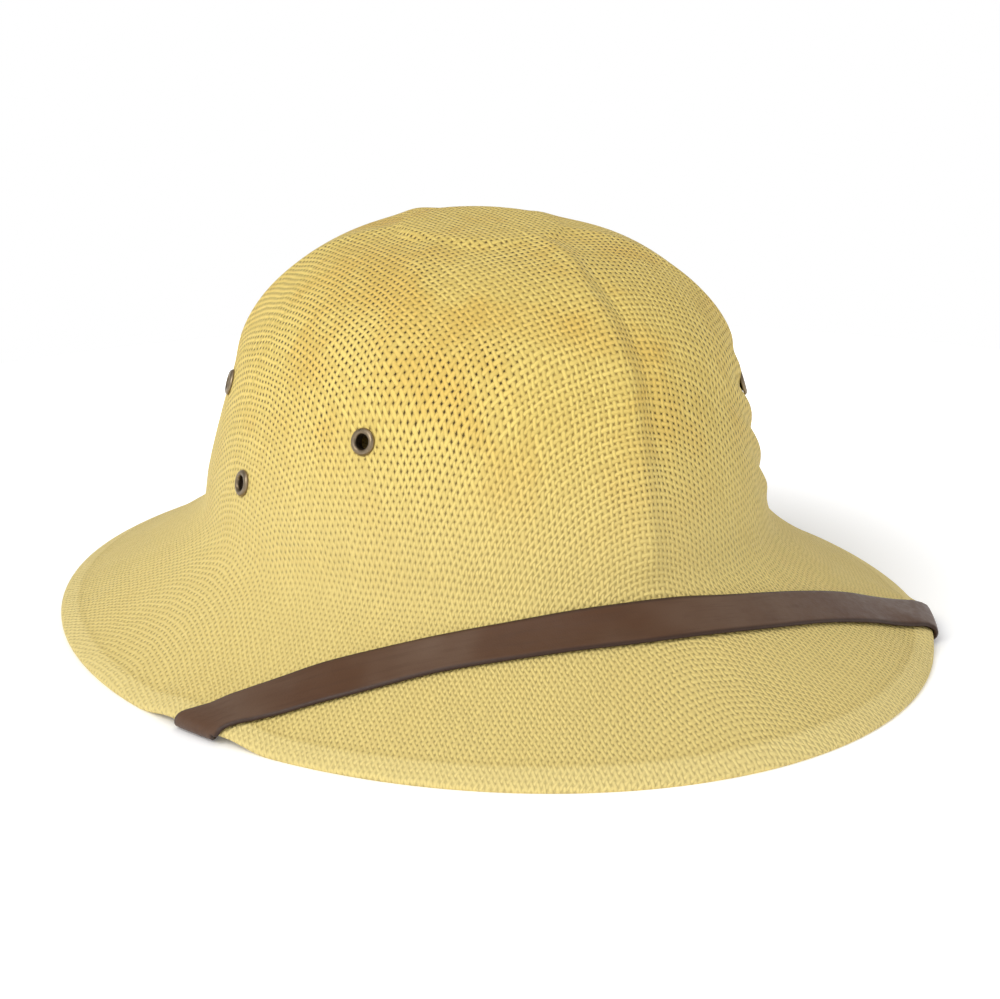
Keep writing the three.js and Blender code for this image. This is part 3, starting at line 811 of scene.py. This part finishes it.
for eyelet_row in EYELETS:
    vent = build_eyelet(eyelet_row, metal)
    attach(vent, "root")
    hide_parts(eyelet_row[0])

# -------------------------------------------------------------------- stage
FLOOR_RADIUS = 420.0
# Further out the paper glows up to white, painted light from its own emission: radii in
# metres, then strengths.
FLOOR_GLOW = (0.10, 0.26, 0.0, 0.6)


def build_floor():
    """A white disc of paper under the hat, glowing further out as painted light."""
    turns = np.linspace(0, 2 * math.pi, 97)[:-1]
    rim = [(FLOOR_RADIUS * math.cos(t), FLOOR_RADIUS * math.sin(t), 0) for t in turns]
    floor = make_object("floor", rim, [list(range(len(rim)))], smooth_shade=False)
    s = Shader("pale_glowing_floor")
    place = s.node("ShaderNodeTexCoord", output=3)
    radius = s.vector_math("LENGTH", place, output=1)
    s.link(s.remap(radius, *FLOOR_GLOW), s.surface.inputs["Emission Strength"])
    s.surface.inputs["Emission Color"].default_value = (1, 1, 1, 1)
    s.surface.inputs["Base Color"].default_value = (0.97, 0.97, 0.97, 1)
    s.surface.inputs["Roughness"].default_value = 0.9
    s.surface.inputs["Specular IOR Level"].default_value = 0.1
    floor.data.materials.append(s.material)
    return floor


build_floor()

AIM = Vector((0.0, -0.0102, 0.058))
CAMERA_AZIMUTH = math.radians(-27.9)
CAMERA_ELEVATION = math.radians(15.9)
CAMERA_DISTANCE = 0.98
CAMERA_ROLL = math.radians(-1.03)


def direction(azimuth, elevation):
    """Unit vector out of the hat, azimuth 0 being its front."""
    return Vector((
        math.sin(azimuth) * math.cos(elevation),
        -math.cos(azimuth) * math.cos(elevation),
        math.sin(elevation),
    ))


def build_camera():
    """A long lens at the photo's place; small shifts put the hat where it was."""
    camera = bpy.data.objects.new("camera", bpy.data.cameras.new("camera"))
    bpy.context.scene.collection.objects.link(camera)
    back = direction(CAMERA_AZIMUTH, CAMERA_ELEVATION)
    camera.location = AIM + back * CAMERA_DISTANCE
    camera.rotation_euler = (-back).to_track_quat("-Z", "Y").to_matrix().to_euler()
    camera.rotation_euler.rotate_axis("Z", CAMERA_ROLL)
    camera.data.sensor_width = 36
    camera.data.lens = 106.35
    camera.data.shift_x = 0.0029
    camera.data.shift_y = -0.0464
    camera.data.clip_end = 50
    bpy.context.scene.camera = camera


def area_light(name, azimuth, elevation, distance, size, watts):
    """A round soft light that looks at the hat; angles in degrees."""
    light = bpy.data.lights.new(name, "AREA")
    light.shape = "DISK"
    light.size = size
    light.energy = watts
    made = bpy.data.objects.new(name, light)
    toward = direction(math.radians(azimuth), math.radians(elevation))
    made.location = AIM + toward * distance
    made.rotation_euler = (-toward).to_track_quat("-Z", "Y").to_euler()
    bpy.context.scene.collection.objects.link(made)


DOME_HEIGHTS = (0.12, 0.55)  # heights on the unit dome between which it dims
DOME_STRENGTHS = (1.0, 0.45)  # white round the horizon and dimmer overhead


def build_world():
    world = bpy.data.worlds.new("studio")
    bpy.context.scene.world = world
    world.use_nodes = True
    nodes = world.node_tree.nodes
    links = world.node_tree.links
    toward = nodes.new("ShaderNodeTexCoord")
    parts = nodes.new("ShaderNodeSeparateXYZ")
    dome = nodes.new("ShaderNodeMapRange")
    dome.interpolation_type = "SMOOTHSTEP"
    for socket, value in zip(dome.inputs[1:5], DOME_HEIGHTS + DOME_STRENGTHS):
        socket.default_value = value
    links.new(toward.outputs["Generated"], parts.inputs[0])
    links.new(parts.outputs["Z"], dome.inputs[0])
    links.new(dome.outputs[0], nodes["Background"].inputs["Strength"])
    nodes["Background"].inputs["Color"].default_value = (1, 1, 1, 1)


build_camera()
area_light("key", -63, 40, 1.8, 1.3, 18.5)
area_light("top", -10, 80, 2.0, 1.4, 6)
build_world()
bpy.context.scene.view_settings.view_transform = "Standard"
